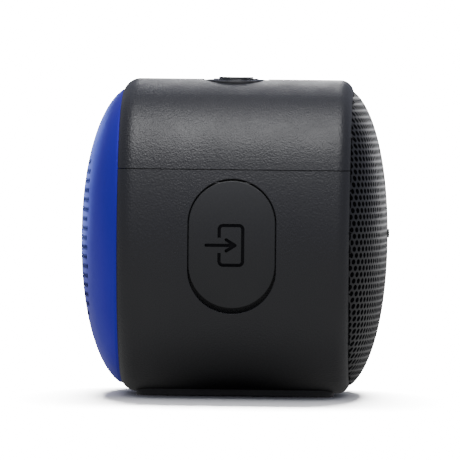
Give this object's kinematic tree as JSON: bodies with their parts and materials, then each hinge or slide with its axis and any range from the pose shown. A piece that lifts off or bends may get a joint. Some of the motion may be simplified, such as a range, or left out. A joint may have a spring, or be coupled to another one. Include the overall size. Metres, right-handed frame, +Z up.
{
  "type": "portable wireless speaker",
  "caption": "Small portable speaker: a rounded-square housing with a domed front grille, a domed back cover, a pill-shaped port cover and a top key pad.",
  "frame": {"origin": "centre of the foot's underside", "axes": "+Z up, -Y out of the front grille, -X out of the port cover"},
  "size_m": [0.0814, 0.0798, 0.0826],
  "materials": {
    "housing_shell": "fine leather-like grain",
    "grille_metal": "satin black powder coat",
    "badge_metal": "satin",
    "speaker_cloth": "fine black weave",
    "blue_cover": "satin blue",
    "frame_plastic": "fine moulded texture",
    "soft_rubber": "matte rubber",
    "key_gloss": "polished",
    "foam": "open-cell foam",
    "stamped_steel": "black passivated steel",
    "bright_steel": "zinc plated",
    "screw_steel": "black oxide",
    "ferrite": "sintered ferrite",
    "cone_paper": "black pulp paper",
    "spider_cloth": "resin-stiffened cotton",
    "former_film": "amber film",
    "copper_wire": "enamelled copper",
    "contact_brass": "gold-plated",
    "radiator_plastic": "moulded",
    "board_green": "solder mask",
    "component_black": "moulded epoxy",
    "module_can": "tinned shield",
    "connector_white": "nylon",
    "wire_jacket": "insulation",
    "battery_wrap": "foil pouch"
  },
  "bodies": {
    "housing": {"main_housing": "housing_shell", "top_cover": "housing_shell", "front_grille": "grille_metal", "grille_badge": "badge_metal", "grille_cloth": "speaker_cloth", "back_cloth": "speaker_cloth", "back_cover": "blue_cover", "front_baffle": "frame_plastic", "back_frame": "frame_plastic", "port_tray": "frame_plastic", "battery_holder": "frame_plastic", "terminal_strip": "frame_plastic", "foot_pad": "soft_rubber", "driver_surround": "soft_rubber", "radiator_surround": "soft_rubber", "control_pad": "soft_rubber", "seam_gaskets": "soft_rubber", "driver_gasket": "foam", "driver_frame": "stamped_steel", "port_cover_pin": "stamped_steel", "driver_top_plate": "bright_steel", "driver_yoke": "bright_steel", "usb_shell": "bright_steel", "seam_screws": "screw_steel", "frame_screws": "screw_steel", "driver_screws": "screw_steel", "board_screws": "screw_steel", "port_board_screws": "screw_steel", "battery_holder_screws": "screw_steel", "driver_magnet": "ferrite", "driver_spider": "spider_cloth", "terminal_lugs": "contact_brass", "aux_jack_contacts": "contact_brass", "main_board": "board_green", "port_board": "board_green", "control_board": "board_green", "amplifier_chip": "component_black", "power_coils": "component_black", "aux_jack": "component_black", "usb_insulator": "component_black", "key_switches": "component_black", "wireless_module": "module_can", "capacitors": "module_can", "ribbon_connectors": "connector_white", "battery_connector": "connector_white", "ribbon_cable": "connector_white", "speaker_leads": "wire_jacket", "battery_leads": "wire_jacket", "port_cable": "wire_jacket", "battery": "battery_wrap"},
    "port_cover": {"port_cover": "soft_rubber"},
    "power_key": {"key_power": "key_gloss"},
    "volume_up_key": {"key_volume_up": "key_gloss"},
    "volume_down_key": {"key_volume_down": "key_gloss"},
    "cone": {"driver_cone": "cone_paper", "driver_dust_cap": "cone_paper", "coil_former": "former_film", "voice_coil": "copper_wire"},
    "radiator": {"radiator_plate": "radiator_plastic", "radiator_weight": "bright_steel"}
  },
  "joints": [
    {"name": "port_cover_hinge", "type": "hinge", "parent": "housing", "child": "port_cover", "pos_m": [-0.0383, 0, 0.0557], "axis": [0, 1, 0], "range_deg": [0, 85]},
    {"name": "power_key_press", "type": "slide", "parent": "housing", "child": "power_key", "axis": [0, 0, -1], "range_m": [0, 0.0004], "stiffness_N_per_m": 1500},
    {"name": "volume_up_key_press", "type": "slide", "parent": "housing", "child": "volume_up_key", "axis": [0, 0, -1], "range_m": [0, 0.0004], "stiffness_N_per_m": 1500},
    {"name": "volume_down_key_press", "type": "slide", "parent": "housing", "child": "volume_down_key", "axis": [0, 0, -1], "range_m": [0, 0.0004], "stiffness_N_per_m": 1500},
    {"name": "cone_slide", "type": "slide", "parent": "housing", "child": "cone", "axis": [0, -1, 0], "range_m": [-0.0015, 0.0015], "stiffness_N_per_m": 1500, "deforming": ["driver_surround", "driver_spider"]},
    {"name": "radiator_slide", "type": "slide", "parent": "housing", "child": "radiator", "axis": [0, 1, 0], "range_m": [-0.002, 0.002], "stiffness_N_per_m": 900, "deforming": ["radiator_surround"]}
  ]
}
